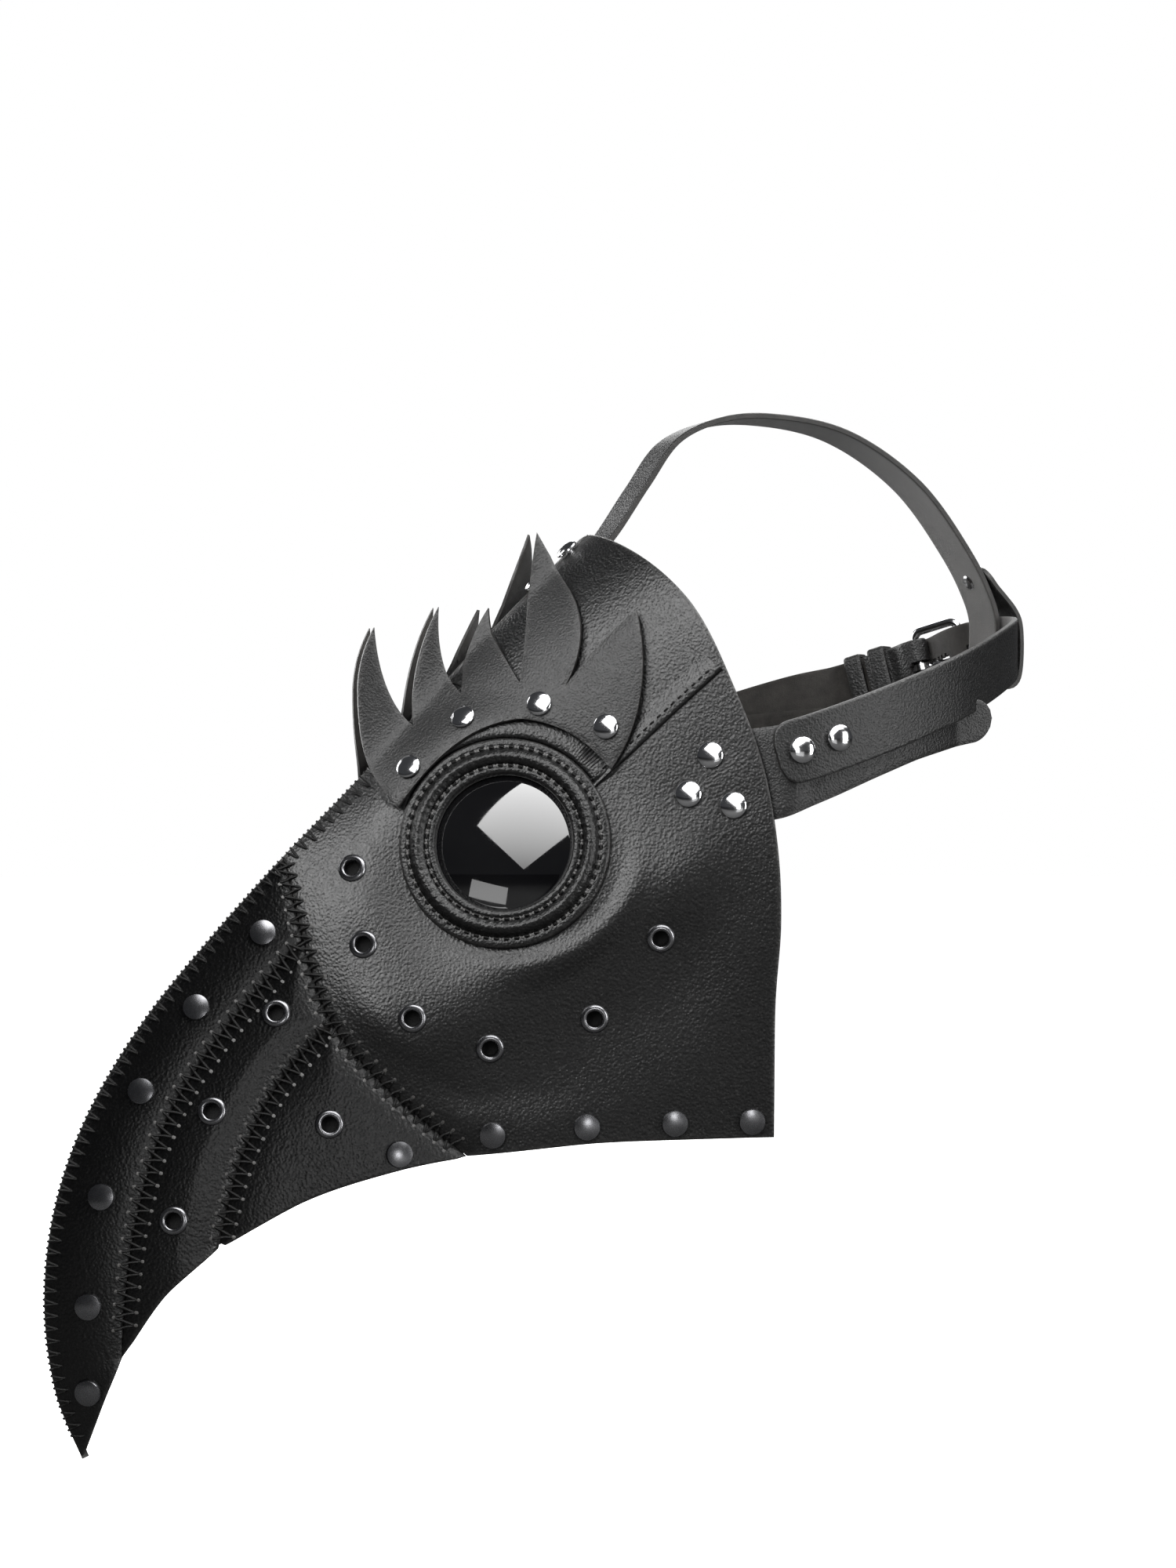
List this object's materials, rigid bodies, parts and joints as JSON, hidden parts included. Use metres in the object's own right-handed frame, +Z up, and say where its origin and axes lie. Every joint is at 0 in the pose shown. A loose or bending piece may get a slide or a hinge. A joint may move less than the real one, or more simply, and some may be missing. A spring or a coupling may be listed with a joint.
{
  "type": "plague doctor mask",
  "caption": "Long down-curved beaked leather face mask with round padded eye lenses, flame-shaped brow pieces, riveted seams and a buckled head harness.",
  "frame": {"origin": "centre of the wearer's head, midway between the sides, level with the temples' strap line just above the eye openings", "axes": "+Z up; the beak points along -Y; the wearer's left is +X; the mask's mirror plane is X = 0"},
  "size_m": [0.1674, 0.3759, 0.374],
  "materials": {
    "mask_leather": "satin pebbled",
    "strap_leather": "satin fine grain",
    "lens": "polished dark lens",
    "gunmetal": "blackened satin",
    "chrome": "polished"
  },
  "bodies": {
    "mask": {"beak_lower_panel_left": "mask_leather", "beak_lower_panel_right": "mask_leather", "beak_middle_panel_left": "mask_leather", "beak_middle_panel_right": "mask_leather", "beak_ridge_panel_left": "mask_leather", "beak_ridge_panel_right": "mask_leather", "beak_underside": "mask_leather", "brow_rivet_1_left": "chrome", "brow_rivet_1_right": "chrome", "brow_rivet_2_left": "chrome", "brow_rivet_2_right": "chrome", "brow_rivet_3_left": "chrome", "brow_rivet_3_right": "chrome", "brow_rivet_4_left": "chrome", "brow_rivet_4_right": "chrome", "crown_rivet_1": "chrome", "crown_rivet_2": "chrome", "eye_ring_left": "mask_leather", "eye_ring_right": "mask_leather", "face_panel_left": "mask_leather", "face_panel_right": "mask_leather", "flame_brow_left": "strap_leather", "flame_brow_right": "strap_leather", "jaw_rivet_1_left": "gunmetal", "jaw_rivet_1_right": "gunmetal", "jaw_rivet_2_left": "gunmetal", "jaw_rivet_2_right": "gunmetal", "jaw_rivet_3_left": "gunmetal", "jaw_rivet_3_right": "gunmetal", "jaw_rivet_4_left": "gunmetal", "jaw_rivet_4_right": "gunmetal", "jaw_rivet_5_left": "gunmetal", "jaw_rivet_5_right": "gunmetal", "lens_left": "lens", "lens_retainer_left": "gunmetal", "lens_retainer_right": "gunmetal", "lens_right": "lens", "strap_tab_left": "strap_leather", "strap_tab_right": "strap_leather", "tab_rivet_1_left": "chrome", "tab_rivet_1_right": "chrome", "tab_rivet_2_left": "chrome", "tab_rivet_2_right": "chrome", "tab_rivet_3_left": "chrome", "tab_rivet_3_right": "chrome", "top_strap": "strap_leather"},
    "harness": {"buckle_frame": "chrome", "fixed_keeper": "strap_leather", "loop_rivet": "chrome", "side_strap_left": "strap_leather", "side_strap_right": "strap_leather", "strap_rivet_1_left": "chrome", "strap_rivet_1_right": "chrome", "strap_rivet_2_left": "chrome", "strap_rivet_2_right": "chrome"},
    "prong": {"buckle_prong": "chrome"},
    "roller": {"buckle_roller": "chrome"},
    "keeper": {"sliding_keeper": "strap_leather"}
  },
  "joints": [
    {"name": "harness_swing", "type": "hinge", "parent": "mask", "child": "harness", "pos_m": [0, -0.024, 0.008], "axis": [1, 0, 0], "range_deg": [-12, 20], "stiffness_Nm_per_rad": 4, "deforming": ["strap_tab_left", "strap_tab_right", "top_strap"]},
    {"name": "prong_swing", "type": "hinge", "parent": "harness", "child": "prong", "pos_m": [-0.04074, 0.09133, 0.04943], "axis": [-0.1923, -0.1732, 0.9659], "range_deg": [0, 8]},
    {"name": "roller_spin", "type": "hinge", "parent": "harness", "child": "roller", "pos_m": [-0.0271, 0.10361, 0.05435], "axis": [0.1923, 0.1732, -0.9659], "continuous": true},
    {"name": "keeper_slide", "type": "slide", "parent": "harness", "child": "keeper", "axis": [-0.7178, -0.6463, -0.2588], "range_m": [-0.0012, 0.002]}
  ]
}
